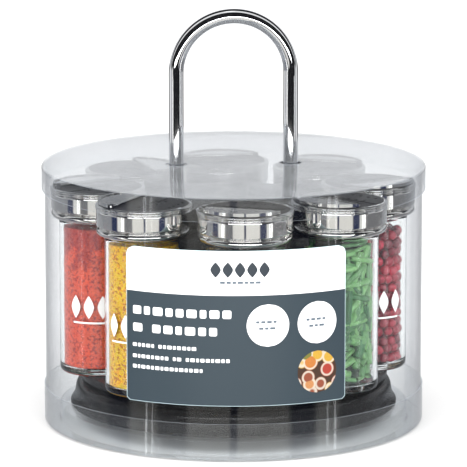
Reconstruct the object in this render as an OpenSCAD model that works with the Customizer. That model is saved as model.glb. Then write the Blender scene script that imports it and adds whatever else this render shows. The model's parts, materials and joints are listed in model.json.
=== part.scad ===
// Spice carousel in its clear display drum.
// Eight glass jars stand on a turntable round a black core, under a chrome
// carrying handle that passes through the lid of the drum.
// The origin is at the bottom centre of the drum, +Z is up and the label
// faces -Y. All sizes are in millimetres.

/* [Display drum] */
// Outer radius of the rolled clear sleeve
sleeve_r = 89.7; // [89:0.1:91]
// Sheet thickness of the clear drum
sheet_t = 0.5; // [0.4:0.1:0.8]
// Height of the tray's rim
tray_h = 17.5; // [12:0.5:22]
// Height of the raised floor that the carousel stands on
tray_floor_z = 8; // [6:0.5:8]
// Overall height of the closed drum
drum_h = 123; // [123:0.5:128]
// Depth of the lid's skirt
skirt_h = 11; // [6:0.5:13]
// Outer radius of the lid
lid_r = 91.2; // [91.2:0.1:93]

/* [Front label] */
// Angle that the label covers on each side of the front
label_half_angle = 34; // [20:1:45]
// Height of the label's lower edge
label_low_z = 26; // [20:1:40]
// Height of the label's upper edge
label_high_z = 98.6; // [80:0.1:105]

/* [Carousel] */
// Radius of the circle that the jars stand on
jar_circle_r = 64.5; // [64:0.1:64.5]
// Number of jars
jar_count = 8; // [6:1:8]
// Turn of the carousel, counter-clockwise from above
carousel_turn = 4.8; // [-20:0.1:20]
// Largest radius of the fixed foot
foot_r = 78; // [77:0.5:80]
// Radius of the turntable
turntable_r = 73.5; // [70:0.5:75]
// Radius of the core between the jars
column_r = 36; // [34:0.5:38]
// Radius of the notched plate round the jars' necks
plate_r = 65; // [60:0.5:68]
// Radius of the raised hub on the plate
hub_r = 40; // [39:0.5:41]

/* [Handle] */
// Diameter of the handle's rod
handle_rod_d = 7; // [6:0.5:7]
// Distance between the centres of the handle's legs
handle_span = 54.4; // [50:0.2:56]
// Overall height of the handle above the ground
handle_top_z = 197; // [190:1:210]

/* [Jars and caps] */
// Outer radius of a jar's body
jar_r = 18.5; // [17.5:0.1:18.5]
// Wall thickness of the glass
glass_t = 1.8; // [1.2:0.1:2]
// Outer radius of a cap
cap_r = 22.6; // [22.2:0.1:22.6]
// Distance of a flap's hinge from the cap's centre
hinge_offset = 7.6; // [7:0.1:9]
// Radius of a sifter hole
sift_hole_r = 0.9; // [0.6:0.1:1.1]

/* [Hidden] */
$fn = 96;
eps = 0.01;

tray_r = sleeve_r + 0.8;
foot_z = tray_floor_z;
foot_top_z = 19.5;
turntable_z = 21;
turntable_top_z = 25;
recess_depth = 1;
jar_z = turntable_top_z - recess_depth;
plate_z = 94;
plate_t = 4;
plate_top_z = plate_z + plate_t;
hub_top_z = 107;
bolt_r = 5;
running_gap = 0.05;

rod_r = handle_rod_d / 2;
leg_x = handle_span / 2;
bend_z = handle_top_z - leg_x - rod_r;
leg_foot_z = 70;
socket_wall = 2.6;
lid_hole_r = 5.25;

neck_r = jar_r - 1;
neck_top_z = 109.6;
cap_z = 98.5;
cap_top_z = 113.2;
sifter_top_z = 112.9;
sifter_r = cap_r - 1.8;
skirt_in_r = neck_r + 0.8;
flap_z = 113.5;
flap_t = 1;
flap_r = cap_r - 1.2;
hinge_z = flap_z + flap_t / 2;
barrel_r = 0.8;
barrel_half = 16.5;
pin_r = 0.5;
lug_in = barrel_half + 0.3;
lug_out = lug_in + 2;

// Jar 1 stands at the front and the others follow counter-clockwise.
function jar_angle(i) = -90 + carousel_turn + (i - 1) * 360 / jar_count;

// Direction, seen from above, in which each cap's flap lies.
FLAP_DIRECTIONS = [-107, -132, -60, 75, 100, 20, 125, 155];

// Height to which each jar is filled.
FILL_HEIGHTS = [95.5, 95.8, 95.5, 90, 95.8, 87, 95.5, 95.8];

JAR_PARTS = ["jar", "spice", "cap", "sifter", "flap"];
FIXED_PARTS = ["display_tray", "display_sleeve", "display_lid", "front_label",
               "foot", "glide_ring", "pivot_bolt",
               "turntable", "column", "neck_plate", "handle"];

CLEAR = [0.86, 0.90, 0.93, 0.30];
GLASS = [0.80, 0.90, 0.90, 0.35];
CHROME = [0.78, 0.79, 0.81];
BLACK = [0.10, 0.10, 0.11];
SPICE_COLOURS = [[0.12, 0.10, 0.09], [0.30, 0.62, 0.35], [0.70, 0.08, 0.18],
                 [0.45, 0.33, 0.16], [0.55, 0.25, 0.12], [0.20, 0.35, 0.15],
                 [0.82, 0.20, 0.14], [0.93, 0.62, 0.12]];

// A tube standing on z0.
module ring(r_out, r_in, z0, h) {
    translate([0, 0, z0]) difference() {
        cylinder(r = r_out, h = h);
        translate([0, 0, -1]) cylinder(r = r_in, h = h + 2);
    }
}

module at_jar(i) {
    rotate([0, 0, jar_angle(i)]) translate([jar_circle_r, 0, 0]) children();
}

// Puts a cap's own X axis towards its flap.
module at_cap(i) {
    at_jar(i) rotate([0, 0, FLAP_DIRECTIONS[i - 1] - jar_angle(i)]) children();
}

/* ---- display drum ---- */

// Tray with a raised floor, pressed from one clear sheet.
module display_tray() {
    riser_r = foot_r + 5;
    color(CLEAR) union() {
        ring(tray_r, tray_r - sheet_t, 0, tray_h);
        ring(tray_r, riser_r - sheet_t, 0, sheet_t);
        ring(riser_r, riser_r - sheet_t, 0, tray_floor_z);
        translate([0, 0, tray_floor_z - sheet_t]) cylinder(r = riser_r, h = sheet_t);
    }
}

// Rolled sleeve with its glued overlap at the right of the label.
module display_sleeve() {
    seam_from = -27;
    seam_angle = 7;
    seam_t = 0.2;
    top_gap = 0.3;
    sleeve_h = drum_h - 2 * sheet_t - top_gap;
    color(CLEAR) union() {
        ring(sleeve_r, sleeve_r - sheet_t, sheet_t, sleeve_h);
        rotate([0, 0, seam_from]) rotate_extrude(angle = seam_angle)
            translate([sleeve_r - seam_t, sheet_t]) square([2 * seam_t, sleeve_h]);
    }
}

// Lid with two holes for the handle's legs.
module display_lid() {
    color(CLEAR) rotate([0, 0, carousel_turn]) difference() {
        union() {
            translate([0, 0, drum_h - sheet_t]) cylinder(r = lid_r, h = sheet_t);
            ring(lid_r, lid_r - sheet_t, drum_h - skirt_h, skirt_h);
        }
        for (side = [-1, 1])
            translate([side * leg_x, 0, drum_h - 2]) cylinder(r = lid_hole_r, h = 4);
    }
}

// Printed label wrapped round the front of the sleeve.
module front_label() {
    label_t = 0.2;
    in_r = sleeve_r + 0.05;
    corner_r = 4;
    half_w = (in_r + label_t) * sin(label_half_angle);
    mid_z = (label_low_z + label_high_z) / 2;
    half_h = (label_high_z - label_low_z) / 2;
    color([0.93, 0.95, 0.96]) intersection() {
        ring(in_r + label_t, in_r, label_low_z - 1, 2 * half_h + 2);
        translate([0, 0, mid_z]) rotate([90, 0, 0]) linear_extrude(height = 100) {
            square([2 * half_w, 2 * (half_h - corner_r)], center = true);
            square([2 * (half_w - corner_r), 2 * half_h], center = true);
            for (sx = [-1, 1]) for (sz = [-1, 1])
                translate([sx * (half_w - corner_r), sz * (half_h - corner_r)])
                    circle(r = corner_r);
        }
    }
}

/* ---- carousel ---- */

// Moulded foot with a flared skirt and a rounded shoulder.
module foot() {
    wall = 2.5;
    shoulder_r = 4;
    waist_r = foot_r - 2.5;
    shoulder_z = foot_top_z - shoulder_r;
    boss_r = 12;
    outside = [for (a = [0:10:90])
        [waist_r - shoulder_r + shoulder_r * cos(a), shoulder_z + shoulder_r * sin(a)]];
    inside = [for (a = [90:-15:0])
        [waist_r - shoulder_r + (shoulder_r - wall) * cos(a),
         shoulder_z + (shoulder_r - wall) * sin(a)]];
    color(BLACK) rotate_extrude() polygon(concat(
        [[foot_r - wall, foot_z], [foot_r, foot_z], [foot_r, foot_z + 1.2],
         [waist_r + 1.1, foot_z + 3], [waist_r + 0.3, foot_z + 5]],
        outside,
        [[bolt_r + running_gap, foot_top_z], [bolt_r + running_gap, foot_z],
         [boss_r, foot_z], [boss_r, foot_top_z - wall]],
        inside));
}

// Slippery ring that carries the turntable.
module glide_ring() {
    color([0.85, 0.85, 0.82])
        ring(60, 54, foot_top_z, turntable_z - foot_top_z);
}

// Shoulder bolt that the turntable spins on.
module pivot_bolt() {
    head_z = turntable_top_z + 0.3;
    head_h = 3.7;
    head_r = 9;
    socket_r = 3;
    color([0.70, 0.71, 0.73]) difference() {
        union() {
            translate([0, 0, foot_z + 1]) cylinder(r = bolt_r, h = head_z - foot_z - 1);
            translate([0, 0, head_z]) cylinder(r = head_r, h = head_h);
        }
        translate([0, 0, head_z + 1]) cylinder(r = socket_r, h = head_h, $fn = 6);
    }
}

// Turning disc with a shallow seat for each jar.
module turntable() {
    edge = 1;
    color(BLACK) difference() {
        rotate_extrude() polygon([
            [bolt_r + running_gap, turntable_z], [turntable_r - edge, turntable_z],
            [turntable_r, turntable_z + edge], [turntable_r, turntable_top_z - edge],
            [turntable_r - edge, turntable_top_z], [bolt_r + running_gap, turntable_top_z]]);
        for (i = [1:jar_count])
            at_jar(i) translate([0, 0, jar_z]) cylinder(r = jar_r + 0.5, h = 5);
    }
}

// Hollow core that ties the turntable to the neck plate.
module column() {
    color(BLACK) ring(column_r, column_r - 2, turntable_top_z, plate_z - turntable_top_z);
}

// Notched plate round the jars' necks, with the hub and the handle's sockets.
module neck_plate() {
    hub_wall = 2.5;
    hub_edge = 2;
    notch_r = jar_r + 0.8;
    socket_r = rod_r + socket_wall;
    color(BLACK) difference() {
        union() {
            difference() {
                union() {
                    translate([0, 0, plate_z]) cylinder(r = plate_r, h = plate_t);
                    rotate_extrude() polygon([
                        [0, plate_top_z - 1], [hub_r, plate_top_z - 1],
                        [hub_r, hub_top_z - hub_edge], [hub_r - 0.6, hub_top_z - 0.6],
                        [hub_r - hub_edge, hub_top_z], [0, hub_top_z]]);
                }
                translate([0, 0, plate_z - 1])
                    cylinder(r = column_r - 3, h = hub_top_z - hub_wall - plate_z + 1);
                for (i = [1:jar_count])
                    at_jar(i) translate([0, 0, plate_z - 1]) cylinder(r = notch_r, h = plate_t + 2);
            }
            rotate([0, 0, carousel_turn]) for (side = [-1, 1])
                translate([side * leg_x, 0, leg_foot_z - 2])
                    cylinder(r = socket_r, h = hub_top_z - 1 - leg_foot_z + 2);
        }
        rotate([0, 0, carousel_turn]) for (side = [-1, 1])
            translate([side * leg_x, 0, leg_foot_z - 0.5])
                cylinder(r = rod_r + running_gap, h = hub_top_z - leg_foot_z + 5);
    }
}

// Carrying handle bent from one round rod.
module handle() {
    color(CHROME) rotate([0, 0, carousel_turn]) union() {
        for (side = [-1, 1])
            translate([side * leg_x, 0, leg_foot_z]) cylinder(r = rod_r, h = bend_z - leg_foot_z);
        translate([0, 0, bend_z]) rotate([90, 0, 0]) rotate_extrude(angle = 180)
            translate([leg_x, 0]) circle(r = rod_r);
    }
}

/* ---- jars ---- */

// Straight glass jar with a rounded heel, a shoulder and a screw neck.
module jar(i) {
    base_t = 3;
    foot_round = 2;
    in_r = jar_r - glass_t;
    heel = [for (a = [-90:15:0])
        [jar_r - foot_round + foot_round * cos(a), jar_z + foot_round + foot_round * sin(a)]];
    color(GLASS) at_jar(i) rotate_extrude() polygon(concat(
        [[0, jar_z]],
        heel,
        [[jar_r, 96], [jar_r - 0.3, 97], [neck_r, 97.9], [neck_r, 103.5],
         [neck_r + 0.4, 104], [neck_r + 0.4, 105], [neck_r, 105.5], [neck_r, neck_top_z],
         [neck_r - glass_t, neck_top_z], [neck_r - glass_t, 98.2], [in_r, 96],
         [in_r, jar_z + base_t + 1], [in_r - 1, jar_z + base_t], [0, jar_z + base_t]]));
}

// Bed of spice or leaves that fills a jar almost to its shoulder.
module spice(i) {
    bed_z = jar_z + 3.1;
    bed_r = jar_r - glass_t - 0.2;
    top_z = FILL_HEIGHTS[i - 1];
    color(SPICE_COLOURS[i - 1]) at_jar(i) rotate_extrude() polygon([
        [0, bed_z], [bed_r - 1.2, bed_z], [bed_r, bed_z + 1.2], [bed_r, top_z], [0, top_z]]);
}

// Plated cap shell: rolled lower band, grooves and two rim beads.
module cap(i) {
    band_r = cap_r - 0.4;
    in_r = cap_r - 1.7;
    low_in_r = skirt_in_r + 0.7;
    roll_z = cap_z + 1.9;
    roll = [for (a = [-60:20:60]) [band_r - 2.2 + 2 * cos(a), roll_z + 1.8 * sin(a)]];
    color(CHROME) at_jar(i) rotate_extrude() polygon(concat(
        [[low_in_r, cap_z], [low_in_r + 0.6, cap_z]],
        roll,
        [[band_r - 0.7, 102.5], [band_r - 0.7, 102.9], [band_r, 103.3],
         [band_r, 110.3], [band_r - 0.4, 110.6], [band_r - 0.4, 110.9],
         [cap_r, 111.2], [cap_r, 111.8], [cap_r - 0.5, 112], [cap_r - 0.5, 112.2],
         [cap_r, 112.4], [cap_r, 112.8], [cap_r - 0.4, cap_top_z],
         [in_r, cap_top_z], [in_r, 103.6], [low_in_r, 102]]));
}

// Black insert: threaded skirt, sifter disc, centre rib and hinge lugs.
module sifter(i) {
    disc_z = neck_top_z + 0.6;
    rib_w = 0.6;
    rib_h = 0.3;
    rib_half = 18;
    row_step = 4.4;
    hole_pitch = 4.6;
    lug_w = 1.8;
    lug_h = 2;
    color(BLACK) at_cap(i) difference() {
        union() {
            ring(skirt_in_r + 0.6, skirt_in_r, cap_z + 0.5, disc_z - cap_z - 0.2);
            translate([0, 0, disc_z]) cylinder(r = sifter_r, h = sifter_top_z - disc_z);
            translate([-rib_w / 2 - row_step, -rib_half, sifter_top_z - eps])
                cube([rib_w, 2 * rib_half, rib_h + eps]);
            for (end = [-1, 1])
                translate([hinge_offset, end * (lug_in + lug_out) / 2, sifter_top_z + lug_h / 2 - eps])
                    cube([lug_w, lug_out - lug_in, lug_h], center = true);
        }
        for (row = [-3.5, -1.5, -0.5]) for (k = [-2:2])
            translate([row * row_step, k * hole_pitch, disc_z - 1]) cylinder(r = sift_hole_r, h = 5);
        translate([hinge_offset, -20, hinge_z]) rotate([-90, 0, 0])
            cylinder(r = pin_r + running_gap, h = 40);
    }
}

// Chrome half-moon flap, hinged along its straight edge.
module flap(i) {
    plate_from = hinge_offset + 1.3;
    lip_h = 0.5;
    color(CHROME) at_cap(i) union() {
        intersection() {
            union() {
                translate([0, 0, flap_z]) cylinder(r = flap_r, h = flap_t);
                ring(flap_r, flap_r - 1, flap_z, flap_t + lip_h);
            }
            translate([plate_from, -30, flap_z - 1]) cube([30, 60, 5]);
        }
        translate([hinge_offset, -barrel_half, flap_z])
            cube([1.3 + eps, 2 * barrel_half, flap_t]);
        translate([hinge_offset, -barrel_half, hinge_z]) rotate([-90, 0, 0])
            cylinder(r = barrel_r, h = 2 * barrel_half);
        translate([hinge_offset, -lug_out, hinge_z]) rotate([-90, 0, 0])
            cylinder(r = pin_r, h = 2 * lug_out);
    }
}

display_tray();
display_sleeve();
display_lid();
front_label();
foot();
glide_ring();
pivot_bolt();
turntable();
column();
neck_plate();
handle();
for (i = [1:jar_count]) {
    jar(i);
    spice(i);
    cap(i);
    sifter(i);
    flap(i);
}
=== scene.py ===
"""Looks of the spice carousel in its clear display drum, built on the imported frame."""
import json
import math
import random

import bmesh
import bpy
import numpy as np
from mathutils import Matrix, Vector, noise


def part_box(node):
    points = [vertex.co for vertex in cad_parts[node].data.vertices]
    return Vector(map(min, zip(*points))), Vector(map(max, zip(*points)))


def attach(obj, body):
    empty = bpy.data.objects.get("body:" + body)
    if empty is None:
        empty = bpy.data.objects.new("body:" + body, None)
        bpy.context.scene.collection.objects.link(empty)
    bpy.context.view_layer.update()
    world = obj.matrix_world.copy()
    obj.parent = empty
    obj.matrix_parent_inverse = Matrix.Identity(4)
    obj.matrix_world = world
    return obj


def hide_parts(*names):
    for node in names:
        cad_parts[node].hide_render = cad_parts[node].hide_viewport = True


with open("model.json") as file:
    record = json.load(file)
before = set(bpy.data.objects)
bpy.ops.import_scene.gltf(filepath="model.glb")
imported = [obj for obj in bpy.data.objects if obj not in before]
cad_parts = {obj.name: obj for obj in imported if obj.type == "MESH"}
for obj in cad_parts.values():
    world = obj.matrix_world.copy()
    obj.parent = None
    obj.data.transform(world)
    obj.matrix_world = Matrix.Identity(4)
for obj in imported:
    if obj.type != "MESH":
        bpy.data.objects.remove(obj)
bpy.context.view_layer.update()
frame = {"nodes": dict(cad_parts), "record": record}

MM = 0.001
JARS = range(1, 9)
JOINTS = {j["name"]: j for j in frame["record"]["behaviour"]["joints"]}


# ---- sizes read from the frame ----

def size_mm(node):
    """A node's lowest and highest corners, in millimetres."""
    low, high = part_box(node)
    return low / MM, high / MM


def radius_mm(node):
    low, high = size_mm(node)
    return (high.x - low.x) / 2


def jar_axis(i):
    """Where jar i's axis stands, in millimetres."""
    pos = JOINTS[f"cap_{i}_turn"]["pos_m"]
    return Vector((pos[0], pos[1], 0)) / MM


# ---- mesh helpers, in millimetres ----

def hang(name, mesh, body, stands_for):
    """Makes an object of a finished mesh and hangs it on a CAD body."""
    piece = bpy.data.objects.new(name, mesh)
    bpy.context.collection.objects.link(piece)
    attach(piece, body)
    if stands_for:
        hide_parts(*stands_for)
    return piece


def add_piece(name, bm, material, body, stands_for=(), sharp_deg=32, more=()):
    """Makes a piece of a bmesh in millimetres."""
    bmesh.ops.scale(bm, vec=(MM, MM, MM), verts=bm.verts)
    mesh = bpy.data.meshes.new(name)
    bm.to_mesh(mesh)
    bm.free()
    mesh.shade_smooth()
    mesh.set_sharp_from_angle(angle=math.radians(sharp_deg))
    mesh.materials.append(material)
    for extra in more:
        mesh.materials.append(extra)
    return hang(name, mesh, body, stands_for)


class Soup:
    """Many small shapes gathered as arrays, each with its own tint."""

    def __init__(self):
        self.points, self.faces, self.tints, self.count = [], [], [], 0

    def add(self, points, faces, tint):
        self.points.append(points)
        self.faces.extend((faces + self.count).tolist())
        self.tints.append(np.full(len(points), tint))
        self.count += len(points)

    def piece(self, name, material, body, stands_for=(), slot=None):
        mesh = bpy.data.meshes.new(name)
        mesh.from_pydata((np.concatenate(self.points) * MM).tolist(), [], self.faces)
        mesh.attributes.new("tint", "FLOAT", "POINT").data.foreach_set("value", np.concatenate(self.tints))
        mesh.shade_smooth()
        mesh.materials.append(material)
        return hang(name, mesh, body, stands_for)


def round_template(subdivisions):
    """Points and triangles of a unit ball."""
    bm = bmesh.new()
    bmesh.ops.create_icosphere(bm, subdivisions=subdivisions, radius=1.0)
    points = np.array([v.co[:] for v in bm.verts])
    faces = np.array([[v.index for v in f.verts] for f in bm.faces])
    bm.free()
    return points, faces


BALLS = {1: round_template(1), 2: round_template(2)}


def random_turn(rng):
    """A random rotation as a 3 x 3 array."""
    q = np.array([rng.gauss(0, 1) for k in range(4)])
    w, x, y, z = q / np.linalg.norm(q)
    return np.array([[1 - 2 * (y * y + z * z), 2 * (x * y - z * w), 2 * (x * z + y * w)],
                     [2 * (x * y + z * w), 1 - 2 * (x * x + z * z), 2 * (y * z - x * w)],
                     [2 * (x * z - y * w), 2 * (y * z + x * w), 1 - 2 * (x * x + y * y)]])


def with_supports(profile):
    """Adds points near the ends of long straight stretches, so that they shade flat."""
    close_by = 0.3
    points = [profile[0]]
    kinds = [0]
    for strip, (a, b) in enumerate(zip(profile, profile[1:])):
        length = math.dist(a, b)
        if length > 4 * close_by:
            for t in (close_by / length, 1 - close_by / length):
                points.append((a[0] + (b[0] - a[0]) * t, a[1] + (b[1] - a[1]) * t))
                kinds.append(strip)
        points.append(b)
        kinds.append(strip)
    return points, kinds[1:]


def lathe(bm, profile, steps=128, centre=(0, 0), closed=True, material_from=None):
    """Turns an outline of (radius, height) points about a vertical axis.

    material_from maps a stretch of the outline to a later material of the piece.
    """
    profile, stretches = with_supports(list(profile) + ([profile[0]] if closed else []))
    if closed:
        profile.pop()
    rings = []
    for r, z in profile:
        if r < 1e-6:
            rings.append([bm.verts.new((centre[0], centre[1], z))])
            continue
        rings.append([bm.verts.new((centre[0] + r * math.cos(2 * math.pi * k / steps),
                                    centre[1] + r * math.sin(2 * math.pi * k / steps), z))
                      for k in range(steps)])
    pairs = list(zip(rings, rings[1:]))
    if closed:
        pairs.append((rings[-1], rings[0]))
    for stretch, (low, high) in zip(stretches, pairs):
        if len(low) == 1 and len(high) == 1:
            continue
        for k in range(steps):
            n = (k + 1) % steps
            corners = [low[k % len(low)], low[n % len(low)], high[n % len(high)], high[k % len(high)]]
            unique = [v for at, v in enumerate(corners) if v not in corners[:at]]
            face = bm.faces.new(unique)
            if material_from and stretch in material_from:
                face.material_index = material_from[stretch]
    return bm


def arc(centre_r, centre_z, radius, start, end, steps=6, squash=1.0):
    """Points of a round stretch of an outline, between two angles in degrees."""
    points = []
    for k in range(steps + 1):
        a = math.radians(start + (end - start) * k / steps)
        points.append((centre_r + radius * math.cos(a), centre_z + radius * squash * math.sin(a)))
    return points


def wrap_patch(bm, edges_at, z_low, z_high, radius, centre=(0, 0), facing=0.0, step=1.6, rows=12):
    """Lays a shape on an upright cylinder: edges_at(z) gives its left and right arc lengths.

    Arc length 0 lies in the direction `facing`, in degrees from -Y towards +X.
    """
    widths = [edges_at(z_low + (z_high - z_low) * k / rows) for k in range(rows + 1)]
    columns = max(2, int(max(b - a for a, b in widths) / step) + 1)
    grid = []
    for k, (left, right) in enumerate(widths):
        z = z_low + (z_high - z_low) * k / rows
        line = []
        for c in range(columns + 1):
            s = left + (right - left) * c / columns
            a = math.radians(facing) + s / radius
            line.append(bm.verts.new((centre[0] + radius * math.sin(a),
                                      centre[1] - radius * math.cos(a), z)))
        grid.append(line)
    for low, high in zip(grid, grid[1:]):
        for c in range(columns):
            bm.faces.new((low[c], low[c + 1], high[c + 1], high[c]))


def rounded_box(s_mid, z_mid, width, height, corner):
    """The edges of a rounded rectangle, for wrap_patch."""
    def edges(z):
        from_end = height / 2 - abs(z - z_mid)
        cut = 0.0
        if from_end < corner:
            cut = corner - math.sqrt(max(0.0, corner ** 2 - (corner - from_end) ** 2))
        half = max(width / 2 - cut, 0.02)
        return s_mid - half, s_mid + half
    return edges


def disc_edges(s_mid, z_mid, radius):
    return rounded_box(s_mid, z_mid, 2 * radius, 2 * radius, radius)


# ---- material helpers ----

class Nodes:
    """A short way to write a node tree."""

    def __init__(self, name):
        self.material = bpy.data.materials.new(name)
        self.material.use_nodes = True
        self.tree = self.material.node_tree
        self.tree.nodes.clear()
        self.out = self.tree.nodes.new("ShaderNodeOutputMaterial")

    def add(self, kind, inputs=None, **settings):
        node = self.tree.nodes.new("ShaderNode" + kind)
        for key, value in settings.items():
            setattr(node, key, value)
        for key, value in (inputs or {}).items():
            socket = node.inputs[key]
            if isinstance(value, bpy.types.NodeSocket):
                self.tree.links.new(value, socket)
            else:
                socket.default_value = value
        return node

    def place(self):
        return self.add("TexCoord").outputs["Object"]

    def noise(self, scale, detail=3.0, roughness=0.5):
        return self.add("TexNoise", {"Vector": self.place(), "Scale": scale,
                                     "Detail": detail, "Roughness": roughness}).outputs["Fac"]

    def cells(self, scale, output="Distance"):
        return self.add("TexVoronoi", {"Vector": self.place(), "Scale": scale}).outputs[output]

    def ramp(self, factor, stops, mode="LINEAR"):
        node = self.add("ValToRGB", {"Fac": factor})
        node.color_ramp.interpolation = mode
        elements = node.color_ramp.elements
        while len(elements) < len(stops):
            elements.new(0.5)
        for element, (at, colour) in zip(elements, stops):
            element.position = at
            element.color = (*colour, 1.0) if len(colour) == 3 else colour
        return node.outputs["Color"]

    def mix(self, factor, a, b, blend="MIX"):
        node = self.add("Mix", data_type="RGBA", blend_type=blend)
        for key, value in (("Factor", factor), ("A", a), ("B", b)):
            socket = next(s for s in node.inputs
                          if s.name == key and s.type == ("VALUE" if key == "Factor" else "RGBA"))
            if isinstance(value, bpy.types.NodeSocket):
                self.tree.links.new(value, socket)
            elif key == "Factor":
                socket.default_value = value
            else:
                socket.default_value = (*value, 1.0)
        return next(s for s in node.outputs if s.type == "RGBA")

    def math(self, operation, a, b):
        node = self.add("Math", operation=operation)
        for socket, value in zip(node.inputs, (a, b)):
            if isinstance(value, bpy.types.NodeSocket):
                self.tree.links.new(value, socket)
            else:
                socket.default_value = value
        return node.outputs[0]

    def spread(self, value, low, high):
        """Maps 0..1 to low..high."""
        return self.add("MapRange", {"Value": value, "To Min": low, "To Max": high}).outputs[0]

    def bump(self, height, distance_mm):
        return self.add("Bump", {"Height": height, "Distance": distance_mm * MM}).outputs[0]

    def principled(self, **inputs):
        named = {key.replace("_", " "): value for key, value in inputs.items()}
        for key, value in named.items():
            if isinstance(value, tuple) and len(value) == 3:
                named[key] = (*value, 1.0)
        node = self.add("BsdfPrincipled", named)
        self.tree.links.new(node.outputs[0], self.out.inputs["Surface"])
        return self.material

    def finish_with(self, shader):
        self.tree.links.new(shader.outputs[0], self.out.inputs["Surface"])
        return self.material


PER_M = 1000.0  # turns a texture scale per millimetre into one per metre


def chrome_material(name, base=(0.80, 0.81, 0.83), roughness=0.05, ripple=0.02):
    """Bright plating with a faint ripple and tiny handling marks."""
    n = Nodes(name)
    marks = n.noise(0.9 * PER_M, detail=6, roughness=0.7)
    wave = n.noise(0.06 * PER_M, detail=2)
    return n.principled(
        Base_Color=n.mix(marks, tuple(c * 0.93 for c in base), base),
        Metallic=1.0,
        Roughness=n.spread(marks, roughness * 0.6, roughness * 1.7),
        Normal=n.bump(wave, ripple))


def black_plastic_material(name, base, dust, roughness):
    """Moulded black plastic with a fine grain and a little pale dust."""
    n = Nodes(name)
    grain = n.noise(2.2 * PER_M, detail=4, roughness=0.6)
    specks = n.ramp(n.cells(0.55 * PER_M), [(0.0, (1, 1, 1)), (0.09, (0, 0, 0))])
    clouds = n.noise(0.05 * PER_M, detail=4)
    tone = n.mix(clouds, (base, base, base * 1.08), (dust * 0.5, dust * 0.5, dust * 0.52))
    colour = n.mix(n.math("MULTIPLY", specks, 0.35), tone, (dust * 3, dust * 3, dust * 3))
    return n.principled(Base_Color=colour, Roughness=n.spread(grain, roughness * 0.8, roughness * 1.25),
                        Specular_IOR_Level=0.32, Normal=n.bump(grain, 0.006))


def clear_sheet_material(name, tint=(0.985, 0.99, 0.995), side_tint=(0.95, 0.953, 0.956), haze=0.001,
                         roughness=0.03, base_reflect=0.02):
    """Thin clear sheet: see-through, greyer and glossier where it turns away."""
    n = Nodes(name)
    facing = n.add("LayerWeight", {"Blend": 0.5}).outputs["Facing"]
    rise = n.math("POWER", facing, 5.0)
    reflect = n.math("ADD", n.math("MULTIPLY", rise, 1.0 - base_reflect), base_reflect)
    ripple = n.noise(0.030 * PER_M, detail=2)
    smear = n.noise(0.10 * PER_M, detail=5, roughness=0.6)
    clear = n.add("BsdfTransparent", {"Color": n.mix(n.math("POWER", facing, 3.0), tint, side_tint)})
    milk = n.add("BsdfDiffuse", {"Color": (0.80, 0.83, 0.86, 1.0)})
    body = n.add("MixShader", {0: n.spread(smear, haze * 0.4, haze * 1.8),
                               1: clear.outputs[0], 2: milk.outputs[0]})
    gloss = n.add("BsdfGlossy", {"Color": (1, 1, 1, 1), "Roughness": roughness,
                                 "Normal": n.bump(ripple, 0.25)})
    return n.finish_with(n.add("MixShader", {0: reflect, 1: body.outputs[0], 2: gloss.outputs[0]}))


def sheet_edge_material():
    """Cut edge of clear sheet, which gathers light and looks frosted."""
    cover = 0.6
    n = Nodes("sheet_edge")
    saw = n.noise(1.5 * PER_M, detail=3)
    clear = n.add("BsdfTransparent", {"Color": (0.9, 0.92, 0.94, 1.0)})
    milk = n.add("BsdfDiffuse", {"Color": (0.42, 0.45, 0.49, 1.0)})
    return n.finish_with(n.add("MixShader", {0: n.spread(saw, cover * 0.7, cover * 1.3),
                                             1: clear.outputs[0], 2: milk.outputs[0]}))


def glass_material():
    """Pressed jar glass with a faint unevenness."""
    n = Nodes("jar_glass")
    wave = n.noise(0.09 * PER_M, detail=2)
    return n.principled(Base_Color=(0.97, 0.99, 0.985), Roughness=0.0, IOR=1.47,
                        Transmission_Weight=1.0, Normal=n.bump(wave, 0.05))


def powder_material(name, light, dark, speck, speck_amount=0.3, dark_top=None):
    """Ground spice: grains of several shades, specks and soft drifts of colour."""
    n = Nodes(name)
    grains = n.cells(1.0 * PER_M, output="Color")
    grain_tone = n.add("SeparateColor", {"Color": grains}).outputs[0]
    drift = n.noise(0.11 * PER_M, detail=4, roughness=0.6)
    tone = n.mix(grain_tone, dark, light)
    tone = n.mix(n.ramp(drift, [(0.38, (0, 0, 0)), (0.62, (1, 1, 1))]), tone,
                 tuple(0.82 * c for c in light))
    fleck = n.noise(0.75 * PER_M, detail=2, roughness=0.5)
    mask = n.ramp(fleck, [(0.54, (0, 0, 0)), (0.60, (1, 1, 1))])
    tone = n.mix(n.math("MULTIPLY", mask, speck_amount), tone, speck)
    if dark_top:
        colour, height_mm, low, high = dark_top
        z = n.add("SeparateXYZ", {"Vector": n.place()}).outputs[2]
        lift = n.math("MULTIPLY", n.math("SUBTRACT", drift, 0.5), 0.05)
        top = n.add("MapRange", {"Value": n.math("ADD", z, lift), "From Min": (height_mm - 3) * MM,
                                 "From Max": (height_mm + 3) * MM}).outputs[0]
        tone = n.mix(n.math("MULTIPLY", top, n.spread(fleck, low, high)), tone, colour)
    return n.principled(Base_Color=tone, Roughness=0.9, Specular_IOR_Level=0.2,
                        Normal=n.bump(n.cells(1.15 * PER_M), 0.4))


def seed_material(name, light, dark, roughness=0.45, wrinkle=0.25):
    """Berries, seeds or leaves, each with its own shade from the mesh's tint values."""
    n = Nodes(name)
    tint = n.add("Attribute", attribute_name="tint").outputs["Fac"]
    skin = n.noise(0.8 * PER_M, detail=5, roughness=0.65)
    shade = n.mix(tint, dark, light)
    colour = n.mix(n.spread(skin, 0.0, 0.55), shade, tuple(0.45 * c for c in dark))
    return n.principled(Base_Color=colour, Roughness=roughness, Specular_IOR_Level=0.4,
                        Normal=n.bump(skin, wrinkle))


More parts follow.
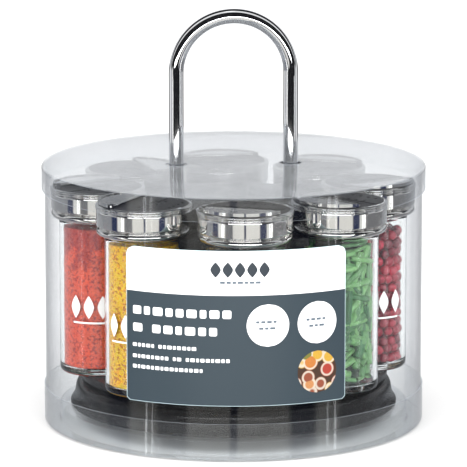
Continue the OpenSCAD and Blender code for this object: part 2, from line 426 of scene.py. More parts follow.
def print_material(name, colour):
    """Ink on smooth label paper, with a faint mottle."""
    n = Nodes(name)
    mottle = n.noise(0.5 * PER_M, detail=5, roughness=0.7)
    fibre = n.noise(3.0 * PER_M, detail=2)
    return n.principled(Base_Color=n.mix(mottle, tuple(0.95 * c for c in colour), colour),
                        Roughness=n.spread(mottle, 0.35, 0.50), Normal=n.bump(fibre, 0.01))


def spice_picture_material():
    """A round picture of heaps of coloured spice, all in cells of plain colour."""
    n = Nodes("label_spice_picture")
    heaps = n.add("TexVoronoi", {"Vector": n.place(), "Scale": 0.175 * PER_M})
    pick = n.add("SeparateColor", {"Color": heaps.outputs["Color"]}).outputs[0]
    colours = n.ramp(pick, [(0.0, (0.24, 0.05, 0.02)), (0.18, (0.50, 0.17, 0.02)),
                            (0.36, (0.36, 0.02, 0.012)), (0.52, (0.55, 0.33, 0.02)),
                            (0.66, (0.14, 0.17, 0.02)), (0.80, (0.50, 0.22, 0.07))], "CONSTANT")
    rim = n.ramp(heaps.outputs["Distance"], [(0.46, (0, 0, 0)), (0.52, (1, 1, 1)), (0.60, (1, 1, 1)),
                                             (0.66, (0, 0, 0))])
    gap = n.ramp(heaps.outputs["Distance"], [(0.62, (0, 0, 0)), (0.70, (1, 1, 1))])
    grain = n.noise(1.8 * PER_M, detail=3)
    tone = n.mix(n.spread(grain, 0.0, 0.5), colours, (0.16, 0.05, 0.02))
    tone = n.mix(n.math("MULTIPLY", rim, 0.8), tone, (0.50, 0.46, 0.38))
    tone = n.mix(gap, tone, (0.05, 0.022, 0.010))
    return n.principled(Base_Color=tone, Roughness=0.4)


CHROME = chrome_material("chrome_handle", roughness=0.045)
CAP_CHROME = chrome_material("chrome_cap", base=(0.84, 0.83, 0.81), roughness=0.05, ripple=0.05)
BLACK = black_plastic_material("black_plastic", base=0.006, dust=0.014, roughness=0.26)
SIFTER_BLACK = black_plastic_material("sifter_plastic", base=0.02, dust=0.05, roughness=0.5)
SLEEVE_CLEAR = clear_sheet_material("clear_sleeve")
TRAY_CLEAR = clear_sheet_material("clear_tray", tint=(0.982, 0.988, 0.99),
                                  side_tint=(0.975, 0.978, 0.98), haze=0.010)
LID_CLEAR = clear_sheet_material("clear_lid", tint=(0.96, 0.964, 0.968),
                                 side_tint=(0.90, 0.906, 0.912), haze=0.12, roughness=0.08)
SHEET_EDGE = sheet_edge_material()
GLASS = glass_material()


# ---- the display drum ----

SHEET = 0.5
LID_HOLE_R = 5.25
SEAM_TURN = 66.5  # where the glued overlap lies, in degrees round from the front
ROD_R = 3.5  # the handle's rod


def build_drum():
    build_tray()
    build_sleeve()
    build_lid()


def build_tray():
    """Shallow clear dish with a raised middle, under the sleeve."""
    high = size_mm("display_tray")[1]
    rim = high.x
    riser = size_mm("foot")[1].x + 5
    step = size_mm("foot")[0].z
    bend = 1.2
    outer = [(rim, high.z)] + [(rim, bend)] + arc(rim - bend, bend, bend, 0, -90, 4)
    outer += [(riser, 0)]
    outer += [(riser - SHEET, 0.4), (riser - SHEET, step - SHEET), (0, step - SHEET)]
    inner = [(0, step), (riser - 0.8, step)] + arc(riser - 0.8, step - 0.8, 0.8, 90, 0, 3)
    inner += [(riser, SHEET + 0.6), (riser + 0.6, SHEET), (rim - SHEET - 0.8, SHEET)]
    inner += arc(rim - SHEET - 0.8, SHEET + 0.8, 0.8, -90, 0, 3)
    inner += [(rim - SHEET, high.z)]
    outline = outer + inner
    bm = bmesh.new()
    lathe(bm, outline, 160, material_from={len(outline) - 1: 1})
    bmesh.ops.recalc_face_normals(bm, faces=bm.faces)
    add_piece("clear_tray_dish", bm, TRAY_CLEAR, "display_box", ("display_tray",), 40,
              (SHEET_EDGE,))


def build_sleeve():
    """Rolled clear wall with a glued overlap strip."""
    low, high = size_mm("display_sleeve")
    r = high.y
    seam_lift = 0.2
    seam_width = 10.9
    bm = bmesh.new()
    lathe(bm, [(r, low.z), (r, high.z), (r - SHEET, high.z), (r - SHEET, low.z)], 160,
          material_from={1: 1, 3: 1})
    bmesh.ops.recalc_face_normals(bm, faces=bm.faces)
    wrap_patch(bm, rounded_box(0, (low.z + high.z) / 2, seam_width, high.z - low.z, 0.01),
               low.z, high.z, r + seam_lift, facing=SEAM_TURN, rows=1)
    add_piece("clear_sleeve_wall", bm, SLEEVE_CLEAR, "display_box", ("display_sleeve",), 40,
              (SHEET_EDGE,))


def build_lid():
    """Clear lid: flat top with two holes, and a short skirt with a soft bend."""
    low, high = size_mm("display_lid")
    r = high.y
    top = high.z
    bend = 1.0
    hole_sides = 48
    outline = [(r - SHEET - 0.6, top - SHEET), (r - SHEET, top - SHEET - 0.6), (r - SHEET, low.z),
               (r, low.z), (r, top - bend)]
    outline += arc(r - bend, top - bend, bend, 0, 90, 5)
    bm = bmesh.new()
    skirt = {stretch: 1 for stretch in range(8)}
    lathe(bm, outline, 160, closed=False, material_from={**skirt, 2: 2})
    turns = [2 * math.pi * k / hole_sides for k in range(hole_sides)]
    holes = [[(x + LID_HOLE_R * math.cos(a), y + LID_HOLE_R * math.sin(a)) for a in turns]
             for x, y in leg_places()]
    walls = []
    for z in (top, top - SHEET):
        rim = sorted((v for v in bm.verts if abs(v.co.z - z) < 1e-4),
                     key=lambda v: math.atan2(v.co.y, v.co.x))
        loops = [rim] + [[bm.verts.new((x, y, z)) for x, y in ring] for ring in holes]
        edges = []
        for loop in loops:
            for k in range(len(loop)):
                pair = (loop[k], loop[(k + 1) % len(loop)])
                edges.append(bm.edges.get(pair) or bm.edges.new(pair))
        bmesh.ops.triangle_fill(bm, edges=edges, use_beauty=True)
        walls.append(loops[1:])
    for upper, lower in zip(*walls):
        for k in range(hole_sides):
            n = (k + 1) % hole_sides
            face = bm.faces.new((upper[k], upper[n], lower[n], lower[k]))
            face.material_index = 2
    bmesh.ops.recalc_face_normals(bm, faces=bm.faces)
    add_piece("clear_lid_top", bm, LID_CLEAR, "lid", ("display_lid",), 40,
              (SLEEVE_CLEAR, SHEET_EDGE))


def leg_places():
    """Where the handle's two legs stand, in millimetres."""
    low, high = size_mm("handle")
    x = (high.x - low.x) / 2 - ROD_R
    y = (high.y - low.y) / 2 - ROD_R
    return [(-x, -y), (x, y)]


def paint(node, material):
    """Gives a CAD node a better material."""
    mesh = frame["nodes"][node].data
    mesh.materials.clear()
    mesh.materials.append(material)


# ---- the front label ----

INK_SLATE = (0.024, 0.042, 0.056)
INK_WHITE = (0.90, 0.91, 0.92)
INK_DARK = (0.020, 0.030, 0.042)
LABEL_SHIFT = 1.4  # the label sits a little to the right of the front
LIFT = 0.04  # step from one printed layer to the next
BAND_DEPTH = 20.8
DISC_R = 9.9
DISCS = ((15.9, 63.7), (39.8, 63.7))  # arc length from the front, and height
SPICE_DISC = (39.9, 40.5)
# left end, height of the middle, size of the blocks, pitch, how many, and which are left out
PRINT_ROWS = ((-48.4, 69.0, 3.9, 6.0, 9, ()), (-48.4, 60.8, 3.9, 6.0, 8, (1,)),
              (-48.6, 52.6, 1.7, 2.6, 14, (5,)), (-48.6, 47.3, 1.7, 2.6, 21, (8, 11)),
              (-48.6, 42.4, 1.7, 2.6, 15, ()))


def print_row(bm, level, s_left, z_mid, height, pitch, count, spaces=()):
    """A line of print drawn as plain rounded blocks that spell nothing."""
    s = s_left
    for k in range(count):
        if k in spaces:
            s += pitch * 0.6
            continue
        width = pitch * (0.66 + 0.16 * math.sin(2.4 * k + count))
        wrap_patch(bm, rounded_box(s + width / 2, z_mid, width, height, min(width, height) * 0.14),
                   z_mid - height / 2, z_mid + height / 2, level, rows=8)
        s += width + pitch * 0.24


def build_label():
    low, high = size_mm("front_label")
    radius = -low.y + LIFT
    z_low, z_high = low.z, high.z
    half = radius * math.asin((high.x - low.x) / 2 / radius)
    paper = print_material("label_paper", (0.62, 0.80, 0.84))
    slate = print_material("label_slate", INK_SLATE)
    white = print_material("label_white", INK_WHITE)
    dark = print_material("label_dark_ink", INK_DARK)
    height = z_high - z_low
    z_mid = (z_low + z_high) / 2

    def part(name, shapes, material, level, stands_for=()):
        bm = bmesh.new()
        for edges, z0, z1, rows in shapes:
            wrap_patch(bm, edges, z0, z1, radius + level * LIFT, rows=rows)
        return add_piece(name, bm, material, "display_box", stands_for)

    sheet = part("label_sheet", [(sheet_edges(z_mid, half, height, 0), z_low, z_high, 60)],
                 paper, 0, ("front_label",))
    solid = sheet.modifiers.new("sheet", "SOLIDIFY")
    solid.thickness = 0.15 * MM
    solid.offset = -1
    inset = 0.25
    edges = sheet_edges(z_mid, half, height, inset)
    part("label_slate_field", [(edges, z_low + inset, z_high - inset, 60)], slate, 1)
    part("label_white_band", [(edges, z_high - BAND_DEPTH, z_high - inset, 24)], white, 2)

    bm = bmesh.new()
    for row in PRINT_ROWS:
        print_row(bm, radius + 2 * LIFT, *row)
    add_piece("label_print", bm, white, "display_box")

    def disc(s, z):
        return disc_edges(s, z, DISC_R), z - DISC_R, z + DISC_R, 40

    part("label_discs", [disc(s, z) for s, z in DISCS], white, 2)
    part("label_spice_disc", [disc(*SPICE_DISC)], spice_picture_material(), 2)
    build_label_icons(radius + 3 * LIFT, dark)


def build_label_icons(radius, dark):
    """A sprig and a made-up line on the band, made-up lines on the discs."""
    grey = print_material("label_grey_ink", (0.10, 0.13, 0.16))
    bm = bmesh.new()
    for k in range(5):
        wrap_patch(bm, leaf_edges(3.0 + (k - 2) * 5.6, 89.8, 2.4, 3.6), 86.2, 93.4, radius, rows=16)
    add_piece("label_sprig", bm, dark, "display_box")
    bm = bmesh.new()
    print_row(bm, radius, -6.2, 83.9, 1.1, 3.0, 7)
    for s, z in DISCS:
        print_row(bm, radius, s - 5.6, z + 1.6, 1.1, 3.0, 4)
        print_row(bm, radius, s - 4.2, z - 1.4, 1.1, 3.0, 3)
    add_piece("label_grey_print", bm, grey, "display_box")


def sheet_edges(z_mid, half, height, inset):
    """The edges of the label: well rounded above, slightly rounded below."""
    above = rounded_box(LABEL_SHIFT, z_mid, 2 * (half - inset), height - 2 * inset, 4)
    below = rounded_box(LABEL_SHIFT, z_mid, 2 * (half - inset), height - 2 * inset, 1.6)
    return lambda z: above(z) if z > z_mid else below(z)


def leaf_edges(s_mid, z_mid, half_width, half_height):
    """The edges of an upright leaf, pointed at both ends."""
    def edges(z):
        t = min(1.0, abs(z - z_mid) / half_height)
        half = max(0.02, half_width * (1 - t ** 1.6))
        return s_mid - half, s_mid + half
    return edges


# ---- the carousel ----

def build_carousel():
    for node in ("turntable", "column", "neck_plate"):
        paint(node, BLACK)
    paint("glide_ring", black_plastic_material("glide_plastic", base=0.55, dust=0.6, roughness=0.4))
    paint("pivot_bolt", chrome_material("bolt_steel", base=(0.55, 0.55, 0.56), roughness=0.25))
    build_foot()


def build_foot():
    """Flared foot with a rounded shoulder."""
    low, high = size_mm("foot")
    r, z0, z1 = high.x, low.z, high.z
    wall = 2.5
    waist = r - wall
    round_r = 4
    outline = [(waist, z0), (r - 0.2, z0), (r, z0 + 0.2), (r, z0 + 0.9), (r - 0.3, z0 + 1.4),
               (waist + 1.1, z0 + 3), (waist + 0.3, z0 + 5)]
    outline += arc(waist - round_r, z1 - round_r, round_r, 0, 90, 12)
    outline += [(waist - round_r - 2, z1), (5.05, z1), (5.05, z0), (12, z0), (12, z1 - wall)]
    outline += arc(waist - round_r, z1 - round_r, round_r - wall, 90, 0, 8)
    bm = bmesh.new()
    lathe(bm, outline, 160)
    bmesh.ops.recalc_face_normals(bm, faces=bm.faces)
    add_piece("moulded_foot", bm, BLACK, "display_box", ("foot",), 50)


def build_handle():
    """Round rod bent to a U, swept along its legs and its half circle."""
    low, high = size_mm("handle")
    leg = Vector((*leg_places()[1], 0))
    reach = leg.length
    direction = leg.normalized()
    bend_z = high.z - reach - ROD_R
    path = [(-reach, low.z), (-reach, low.z + 0.5)]
    leg_steps = 24
    path += [(-reach, low.z + (bend_z - low.z) * k / leg_steps) for k in range(1, leg_steps)]
    path += [(reach * -math.cos(math.pi * k / 64), bend_z + reach * math.sin(math.pi * k / 64))
             for k in range(65)]
    path += [(reach, bend_z + (low.z - bend_z) * k / leg_steps) for k in range(1, leg_steps + 1)]
    side = Vector((-direction.y, direction.x, 0))
    bm = bmesh.new()
    rings = []
    sides = 48
    for k, (u, z) in enumerate(path):
        before = path[max(k - 1, 0)]
        after = path[min(k + 1, len(path) - 1)]
        along = (direction * (after[0] - before[0]) + Vector((0, 0, after[1] - before[1]))).normalized()
        across = side.cross(along).normalized()
        middle = direction * u + Vector((0, 0, z))
        rings.append([bm.verts.new(middle + ROD_R * (math.cos(2 * math.pi * j / sides) * across
                                                     + math.sin(2 * math.pi * j / sides) * side))
                      for j in range(sides)])
    for a, b in zip(rings, rings[1:]):
        for j in range(sides):
            bm.faces.new((a[j], a[(j + 1) % sides], b[(j + 1) % sides], b[j]))
    bm.faces.new(rings[0])
    bm.faces.new(list(reversed(rings[-1])))
    bmesh.ops.recalc_face_normals(bm, faces=bm.faces)
    add_piece("carrying_handle", bm, CHROME, "handle", ("handle",))


# ---- jars, caps and what is in them ----

def build_jar(i):
    low, high = size_mm(f"jar_{i}")
    centre = jar_axis(i)
    r = (high.x - low.x) / 2
    z0 = low.z
    wall = 1.8
    inner = r - wall
    neck = r - 1.0
    outline = [(0, z0 + 0.5), (r - 7, z0 + 0.3)]
    outline += arc(r - 2.4, z0 + 2.4, 2.4, -90, 0)
    outline += [(r, 70)]
    outline += arc(r - 1.0, 96.6, 1.0, 0, 80, 4)
    outline += [(neck, 97.9), (neck, 103.4)]
    outline += arc(neck - 0.1, 104.3, 0.5, -60, 60, 4)
    outline += [(neck, 105.4), (neck, high.z - 0.4), (neck - 0.4, high.z), (neck - wall + 0.3, high.z),
                (neck - wall, high.z - 0.4), (neck - wall, 98.2), (inner, 96.8), (inner, z0 + 4.6)]
    outline += arc(inner - 1.6, z0 + 4.6, 1.6, 0, -80, 5)
    outline += [(0, z0 + 3.4)]
    bm = bmesh.new()
    lathe(bm, outline, 96, centre, closed=False)
    bmesh.ops.recalc_face_normals(bm, faces=bm.faces)
    add_piece(f"glass_jar_{i}", bm, GLASS, f"jar_{i}", (f"jar_{i}",), sharp_deg=50)


def build_cap(i):
    low, high = size_mm(f"cap_{i}")
    centre = jar_axis(i)
    r = (high.x - low.x) / 2
    z0, z1 = low.z, high.z
    band = r - 0.35
    inner = r - 1.7
    outline = [(19.1, z0), (19.8, z0)]
    outline += arc(band - 2.3, z0 + 1.95, 2.2, -62, 62, 10, squash=0.88)
    outline += [(band - 0.75, z0 + 4.15), (band - 0.7, z0 + 4.4)]
    outline += arc(band - 0.5, z0 + 5.0, 0.5, -80, 0, 4)
    outline += [(band, z1 - 3.0)]
    outline += [(band - 0.1, z1 - 2.7), (band - 0.35, z1 - 2.5), (band - 0.3, z1 - 2.3)]
    outline += arc(r - 0.4, z1 - 1.75, 0.4, -60, 60, 5)
    outline += [(r - 0.45, z1 - 1.25)]
    outline += arc(r - 0.4, z1 - 0.72, 0.4, -60, 80, 6)
    outline += [(r - 0.9, z1 - 0.05), (r - 1.2, z1)]
    outline += [(inner + 0.15, z1), (inner, z1 - 0.15), (inner, z0 + 5.2), (19.1, z0 + 3.4)]
    bm = bmesh.new()
    lathe(bm, outline, 128, centre)
    bmesh.ops.recalc_face_normals(bm, faces=bm.faces)
    add_piece(f"chrome_cap_{i}", bm, CAP_CHROME, f"cap_{i}", (f"cap_{i}",), sharp_deg=60)
    paint(f"sifter_{i}", SIFTER_BLACK)
    paint(f"flap_{i}", CAP_CHROME)


def spice_space(i):
    """The space that a jar's contents fill: axis, radius, floor and top."""
    low, high = size_mm(f"spice_{i}")
    return jar_axis(i), (high.x - low.x) / 2, low.z, high.z


def build_powder(i, name, material):
    """Ground spice with a level top that dips and heaps a little."""
    centre, r, z0, z1 = spice_space(i)
    bm = bmesh.new()
    outline = [(0, z0), (r - 1.4, z0)] + arc(r - 1.4, z0 + 1.4, 1.4, -80, 0, 5)
    steps = 40
    outline += [(r, z0 + 2 + (z1 - z0 - 2.5) * k / steps) for k in range(steps + 1)]
    outline += [(r * (1 - k / 8), z1) for k in range(1, 9)]
    lathe(bm, outline, 96, centre, closed=False)
    for v in bm.verts:
        out = Vector((v.co.x - centre.x, v.co.y - centre.y, 0))
        dent = noise.noise(Vector((v.co.x * 0.35, v.co.y * 0.35, v.co.z * 0.35)))
        if out.length > 0.6 * r:
            v.co -= out.normalized() * (0.12 + 0.12 * dent)
        if v.co.z > z1 - 0.6:
            v.co.z += 0.7 * noise.noise(Vector((v.co.x * 0.09, v.co.y * 0.09, i * 5.0))) - 0.5
    bmesh.ops.recalc_face_normals(bm, faces=bm.faces)
    return add_piece(name, bm, material, f"jar_{i}", (f"spice_{i}",), sharp_deg=80)


def add_blob(soup, where, axes, rng, lumps=0.08, detail=2):
    """One berry or seed: a rounded lump scaled along its own three axes."""
    points, faces = BALLS[detail]
    wave = points @ random_turn(rng)
    swell = 1 + lumps * np.sin(3.1 * wave[:, 0] + 1.3) * np.sin(4.3 * wave[:, 1]) + lumps * 0.5 * np.sin(
        7.7 * wave[:, 2])
    shaped = (points * swell[:, None] * np.array(axes)) @ random_turn(rng)
    soup.add(shaped + np.array(where), faces, rng.random())


def shell_places(i, pitch, layers, rng):
    """Places in rings just inside the glass, then in smaller rings behind them."""
    centre, r, z0, z1 = spice_space(i)
    places = []
    for layer in range(layers):
        ring_r = r - pitch / 2 - layer * pitch * 0.86
        count = int(2 * math.pi * ring_r / pitch)
        rows = int((z1 - z0 - pitch) / (pitch * 0.87))
        for row in range(rows + 1):
            z = z0 + pitch / 2 + row * pitch * 0.87
            for k in range(count):
                a = 2 * math.pi * (k + 0.5 * (row % 2) + rng.uniform(-0.12, 0.12)) / count
                rr = ring_r - rng.uniform(0, pitch * 0.12)
                places.append(Vector((centre.x + rr * math.cos(a), centre.y + rr * math.sin(a),
                                      z + rng.uniform(-0.1, 0.1) * pitch)))
    return places


def build_core(i, name, material):
    """Plain filling behind the grains that can be seen."""
    centre, r, z0, z1 = spice_space(i)
    bm = bmesh.new()
    lathe(bm, [(0, z0), (r * 0.62, z0), (r * 0.7, z0 + 2), (r * 0.7, z1 - 4), (r * 0.5, z1 - 2.5), (0, z1 - 2)],
          48, centre, closed=False)
    bmesh.ops.recalc_face_normals(bm, faces=bm.faces)
    add_piece(name, bm, material, f"jar_{i}", ())


def build_berries(i, name, material, size, seed, lumps=0.08, stretch=1.0):
    """A jar of whole berries or seeds."""
    rng = random.Random(seed)
    soup = Soup()
    for where in shell_places(i, size, 2, rng):
        half = size / 2 * rng.uniform(0.88, 1.06)
        add_blob(soup, where, (half, half, half * stretch), rng, lumps)
    centre, r, z0, z1 = spice_space(i)
    top_r = r - size
    for k in range(int((top_r / size) ** 2 * 3)):
        a = rng.uniform(0, 2 * math.pi)
        rr = top_r * math.sqrt(rng.random())
        add_blob(soup, (centre.x + rr * math.cos(a), centre.y + rr * math.sin(a), z1 - size * 0.6),
                 (size / 2, size / 2, size / 2), rng, lumps)
    soup.piece(name, material, f"jar_{i}", (f"spice_{i}",), f"spice_{i}")
    build_core(i, name + "_core", material)


def add_tube(soup, middle_line, radius, tint):
    """One hollow leaf: a thin tube along a line of points, open at both ends."""
    sides = 10
    line = np.array(middle_line)
    along = np.gradient(line, axis=0)
    along /= np.linalg.norm(along, axis=1)[:, None]
    side = np.cross(along, [0.31, 0.2, 0.93])
    side /= np.linalg.norm(side, axis=1)[:, None]
    up = np.cross(along, side)
    turn = np.arange(sides) * 2 * np.pi / sides
    rings = len(line)
    points = []
    for wall_r in (radius, radius * 0.66):
        around = (np.cos(turn)[None, :, None] * side[:, None, :]
                  + np.sin(turn)[None, :, None] * up[:, None, :] * 0.8)
        points.append((line[:, None, :] + wall_r * around).reshape(-1, 3))
    faces = []
    for wall in (0, 1):
        start = wall * rings * sides
        for k in range(rings - 1):
            for j in range(sides):
                n = (j + 1) % sides
                faces.append((start + k * sides + j, start + k * sides + n,
                              start + (k + 1) * sides + n, start + (k + 1) * sides + j))
    for k in (0, rings - 1):
        for j in range(sides):
            n = (j + 1) % sides
            faces.append((k * sides + j, k * sides + n, (rings + k) * sides + n, (rings + k) * sides + j))
    soup.add(np.concatenate(points), np.array(faces), tint)


def build_chives(i, name, material, seed):
    """A jar of cut hollow green leaves lying every way against the glass."""
    rng = random.Random(seed)
    centre, r, z0, z1 = spice_space(i)
    soup = Soup()
    for k in range(330):
        radius = rng.uniform(1.1, 2.3)
        rr = r - radius - 0.1 - rng.random() ** 1.5 * 6.0
        a = rng.uniform(0, 2 * math.pi)
        length = rng.uniform(12, 32)
        lean = rng.gauss(0.35, 0.4) if rng.random() < 0.78 else rng.uniform(1.2, 2.0)
        half_turn = length * math.sin(lean) / 2 / rr
        rise = length * math.cos(lean) / 2
        z = rng.uniform(z0 + abs(rise) + radius, z1 - abs(rise) - radius)
        line = []
        for t in np.linspace(-1, 1, 7):
            at = a + t * half_turn
            sway = rr + 0.4 * math.sin(t * 2.2 + k) - 0.4
            line.append((centre.x + sway * math.cos(at), centre.y + sway * math.sin(at), z + t * rise))
        add_tube(soup, line, radius, rng.random())
    points = np.concatenate(soup.points)
    out = points[:, :2] - np.array([centre.x, centre.y])
    reach = np.linalg.norm(out, axis=1)
    scale = np.minimum(1.0, r / np.maximum(reach, 1e-6))
    points[:, :2] = np.array([centre.x, centre.y]) + out * scale[:, None]
    points[:, 2] = np.clip(points[:, 2], z0, z1)
    soup.points = [points]
    soup.piece(name, material, f"jar_{i}", (f"spice_{i}",), f"spice_{i}")
    # The filling behind the leaves is painted near-black green: painted shade for the dark gaps between the
    # leaves, not the colour of chives.
    build_core(i, name + "_core", seed_material(name + "_core_painted_shade", (0.03, 0.09, 0.03), (0.01, 0.04, 0.015)))


def build_flakes(i, name, material, seed):
    """A jar of small dry leaf flakes."""
    rng = random.Random(seed)
    centre, r, z0, z1 = spice_space(i)
    soup = Soup()
    for k in range(1600):
        rr = r - 2.0 - 3.0 * rng.random() ** 2
        a = rng.uniform(0, 2 * math.pi)
        where = (centre.x + rr * math.cos(a), centre.y + rr * math.sin(a), rng.uniform(z0 + 2, z1 - 2))
        add_blob(soup, where, (rng.uniform(0.9, 2.0), rng.uniform(0.5, 1.1), 0.16), rng, 0.3, detail=1)
    soup.piece(name, material, f"jar_{i}", (f"spice_{i}",), f"spice_{i}")
    build_core(i, name + "_core", material)


def build_spices():
    """What each jar holds: materials first with their lighter, then their darker tone."""
    build_berries(1, "black_peppercorns",
                  seed_material("peppercorn", (0.06, 0.045, 0.035), (0.012, 0.01, 0.008), 0.6, 0.5),
                  4.6, 11, 0.14)
    build_chives(2, "cut_chives",
                 seed_material("chive_leaf", (0.36, 0.72, 0.28), (0.03, 0.17, 0.06), 0.3, 0.05), 22)
    build_berries(3, "pink_berries",
                  seed_material("pink_berry", (0.78, 0.04, 0.09), (0.22, 0.008, 0.03), 0.28, 0.12),
                  4.9, 33)
    build_berries(4, "seeds",
                  seed_material("seed_husk", (0.42, 0.27, 0.11), (0.17, 0.10, 0.035), 0.6, 0.3),
                  3.6, 44, 0.05, 1.25)
    build_powder(5, "ground_bark",
                 powder_material("bark_powder", (0.45, 0.20, 0.08), (0.28, 0.11, 0.04), (0.08, 0.03, 0.01)))
    build_flakes(6, "leaf_flakes",
                 seed_material("dry_leaf", (0.16, 0.22, 0.07), (0.05, 0.08, 0.02), 0.8, 0.2), 66)
    build_powder(7, "red_powder",
                 powder_material("red_pepper", (0.98, 0.13, 0.06), (0.80, 0.07, 0.035), (0.26, 0.010, 0.02),
                                 0.65, dark_top=((0.30, 0.015, 0.025), 81, 0.35, 1.0)))
    build_powder(8, "yellow_powder",
                 powder_material("yellow_curry", (1.0, 0.66, 0.02), (0.98, 0.40, 0.006),
                                 (0.50, 0.12, 0.008), 0.8))


def build_marks(i, facing):
    """Plain white leaves with a line under them, printed on the front of a jar."""
    centre = jar_axis(i)
    radius = radius_mm(f"jar_{i}") + 0.03
    bm = bmesh.new()
    z_mid = 58.0
    leaf_half = 5.6
    for s in (-13.5, -6.7, 0.0, 6.7, 13.5):
        wrap_patch(bm, leaf_edges(s, z_mid, 2.5, leaf_half), z_mid - leaf_half, z_mid + leaf_half,
                   radius, centre, facing, 0.6, 20)
    wrap_patch(bm, rounded_box(0, z_mid - 7.6, 30, 0.9, 0.4), z_mid - 8.05, z_mid - 7.15, radius, centre,
               facing, 0.8, 4)
    add_piece(f"jar_mark_{i}", bm, print_material(f"jar_ink_{i}", (0.92, 0.91, 0.90)), f"jar_{i}", ())


# ---- studio ----

DOME_R = 0.8
CAMERA_AT = (0, -1.928, 0.470)
CAMERA_AIM = (0, 0, 0.089)
LAMPS = (("key_left", (-0.9, -0.7, 1.2), 0.9, 5), ("fill_right", (1.0, -0.5, 0.9), 0.8, 3),
         ("back_top", (0.0, 0.9, 1.3), 1.0, 3))  # name, place, size, power
# direction round the object in degrees, width in degrees, strength
STRIPS = ((-51.5, 1.2, 5.0), (-47.5, 0.7, 4.0), (56.0, 1.0, 4.0), (61.0, 1.2, 5.0))
STRIP_Z = (-0.30, 0.05)


def build_studio():
    scene = bpy.context.scene
    scene.view_settings.view_transform = "Standard"
    scene.cycles.use_denoising = True
    scene.cycles.max_bounces = 24
    scene.cycles.transmission_bounces = 20
    scene.cycles.transparent_max_bounces = 48
    scene.cycles.glossy_bounces = 8
    scene.cycles.sample_clamp_indirect = 6
    world = bpy.data.worlds.new("studio_world")
    world.use_nodes = True
    tree = world.node_tree
    background = tree.nodes["Background"]
    background.inputs["Color"].default_value = (1, 1, 1, 1)
    place = tree.nodes.new("ShaderNodeTexCoord")
    split = tree.nodes.new("ShaderNodeSeparateXYZ")
    front = tree.nodes.new("ShaderNodeMapRange")
    for socket, value in (("From Min", 0.25), ("From Max", -0.8), ("To Min", 1.0), ("To Max", 3.2)):
        front.inputs[socket].default_value = value
    tree.links.new(place.outputs["Generated"], split.inputs[0])
    tree.links.new(split.outputs["Y"], front.inputs["Value"])
    tree.links.new(front.outputs[0], background.inputs["Strength"])
    scene.world = world

    half = 6.0
    mesh = bpy.data.meshes.new("floor")
    mesh.from_pydata([(-half, -half, 0), (half, -half, 0), (half, half, 0), (-half, half, 0)], [],
                     [(0, 1, 2, 3)])
    floor = bpy.data.objects.new("floor", mesh)
    floor.location.z = -0.0004
    floor.visible_glossy = False
    bpy.context.collection.objects.link(floor)
    mesh.materials.append(Nodes("floor_white").principled(Base_Color=(0.70, 0.70, 0.70), Roughness=0.8,
                                                          Specular_IOR_Level=0.1))

    for lamp in LAMPS:
        add_light(*lamp)
    add_dome()
    z_low, z_high = STRIP_Z
    r = DOME_R - 0.02
    for k, (azimuth, width, strength) in enumerate(STRIPS):
        left, right = azimuth - width / 2, azimuth + width / 2
        add_card(f"strip_light_{k}", [dome_point(left, r, z_low), dome_point(right, r, z_low),
                                      dome_point(right, r, z_high), dome_point(left, r, z_high)], strength)
    add_card("bar_light", [(-0.44, -0.60, 0.12), (0.44, -0.60, 0.12), (0.44, -0.58, 0.19),
                           (-0.44, -0.58, 0.19)], 9.0)
    add_camera()


def dome_point(azimuth, r, z):
    """A place on the dome; azimuth in degrees from the camera's side towards the right."""
    a = math.radians(azimuth)
    return r * math.sin(a), -r * math.cos(a), z


def gloss_only(obj):
    """Keeps a card out of everything but reflections."""
    obj.visible_camera = False
    obj.visible_diffuse = False
    obj.visible_shadow = False
    obj.visible_transmission = False
    obj.visible_volume_scatter = False


def azimuth_ramp(n, stops):
    """Colours by direction round the object, from behind it by the left side and the front to
    behind it again, and the height of the shaded point."""
    xyz = n.add("SeparateXYZ", {"Vector": n.place()}).outputs
    turn = n.math("ARCTAN2", xyz[0], n.math("MULTIPLY", xyz[1], -1.0))
    factor = n.add("MapRange", {"Value": turn, "From Min": -math.pi, "From Max": math.pi}).outputs[0]
    return n.ramp(factor, [((at + 180) / 360, tone) for at, tone in stops]), xyz[2]


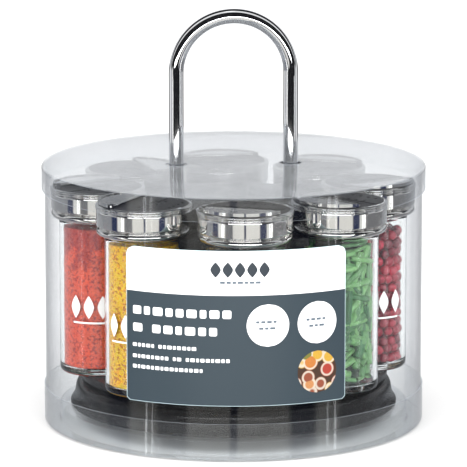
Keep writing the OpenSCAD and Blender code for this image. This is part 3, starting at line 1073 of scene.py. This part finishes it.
def add_dome():
    """Studio surroundings as the chrome and the clear sheets see them."""
    bm = bmesh.new()
    lathe(bm, [(DOME_R * math.cos(math.radians(e)), DOME_R * math.sin(math.radians(e)))
               for e in range(-85, 90, 5)], 96, closed=False)
    mesh = bpy.data.meshes.new("studio_dome")
    bm.to_mesh(mesh)
    bm.free()
    n = Nodes("studio_dome")
    grey, pale, dim = (0.20, 0.20, 0.21), (0.95, 0.94, 0.90), (0.30, 0.31, 0.33)
    front = (0.92, 0.90, 0.85)
    blue, back, white = (0.03, 0.04, 0.10), (0.62, 0.63, 0.65), (1.0, 1.0, 1.0)
    low, z = azimuth_ramp(n, [
        (-180, back), (-120, dim), (-112, dim), (-80, dim), (-76, blue), (-64, blue), (-61, pale),
        (-46, pale), (-43, grey), (-28, grey), (-26, front), (-2.5, front), (-1.5, blue), (1.5, blue),
        (2.5, front), (31, front), (34, blue), (47, blue), (50, pale), (62, pale), (66, grey),
        (112, grey), (125, dim), (180, back)])
    dark = (0.012, 0.012, 0.014)
    high = azimuth_ramp(n, [
        (-180, grey), (-150, dark), (-128, dark), (-118, white), (-96, white), (-84, dim), (-66, white),
        (-56, pale), (-52, dark), (66, dark), (70, white), (86, dim), (100, white), (116, white),
        (126, dark), (150, dark), (180, grey)])[0]
    rise = n.add("MapRange", {"Value": z, "From Min": -0.012, "From Max": 0.004}).outputs[0]
    sides = n.mix(rise, low, high)
    above = n.add("MapRange", {"Value": z, "From Min": 0.10, "From Max": 0.16}).outputs[0]
    xyz = n.add("SeparateXYZ", {"Vector": n.place()}).outputs
    over = n.math("ARCTAN2", xyz[2], n.math("MULTIPLY", xyz[1], -1.0))
    part = n.add("MapRange", {"Value": over, "From Min": 0.0, "From Max": math.pi}).outputs[0]
    ceiling = n.ramp(part, [(at / 180, tone) for at, tone in (
        (0, dark), (72, dark), (76, white), (92, white), (98, dark), (128, dark), (142, (0.60, 0.61, 0.63)),
        (180, (0.74, 0.75, 0.77)))])
    colour = n.mix(above, sides, ceiling)
    n.finish_with(n.add("Emission", {"Color": colour, "Strength": 1.0}))
    mesh.materials.append(n.material)
    dome = bpy.data.objects.new("studio_dome", mesh)
    bpy.context.collection.objects.link(dome)
    gloss_only(dome)


def add_card(name, corners, strength):
    """A lamp that only draws bright lines on the chrome and the clear sheets."""
    mesh = bpy.data.meshes.new(name)
    mesh.from_pydata(corners, [], [(0, 1, 2, 3)])
    n = Nodes(name)
    n.finish_with(n.add("Emission", {"Color": (1, 1, 1, 1), "Strength": strength}))
    mesh.materials.append(n.material)
    card = bpy.data.objects.new(name, mesh)
    bpy.context.collection.objects.link(card)
    gloss_only(card)


def add_light(name, where, size, power):
    light = bpy.data.lights.new(name, "AREA")
    light.shape = "SQUARE"
    light.size = size
    light.energy = power
    lamp = bpy.data.objects.new(name, light)
    lamp.location = where
    lamp.visible_camera = False
    aim = Vector((0, 0, 0.1)) - lamp.location
    lamp.rotation_euler = aim.to_track_quat("-Z", "Y").to_euler()
    bpy.context.collection.objects.link(lamp)


def add_camera():
    """Camera far off with a long lens, a little above the lid."""
    data = bpy.data.cameras.new("camera")
    data.sensor_width = 36
    data.lens = 318
    data.clip_end = 20
    camera = bpy.data.objects.new("camera", data)
    camera.location = CAMERA_AT
    aim = Vector(CAMERA_AIM) - camera.location
    camera.rotation_euler = aim.to_track_quat("-Z", "Y").to_euler()
    bpy.context.collection.objects.link(camera)
    bpy.context.scene.camera = camera


build_drum()
build_label()
build_carousel()
build_handle()
for i in JARS:
    build_jar(i)
    build_cap(i)
build_spices()
for i, facing in ((7, 8), (8, -6), (3, 2)):
    build_marks(i, facing)
build_studio()
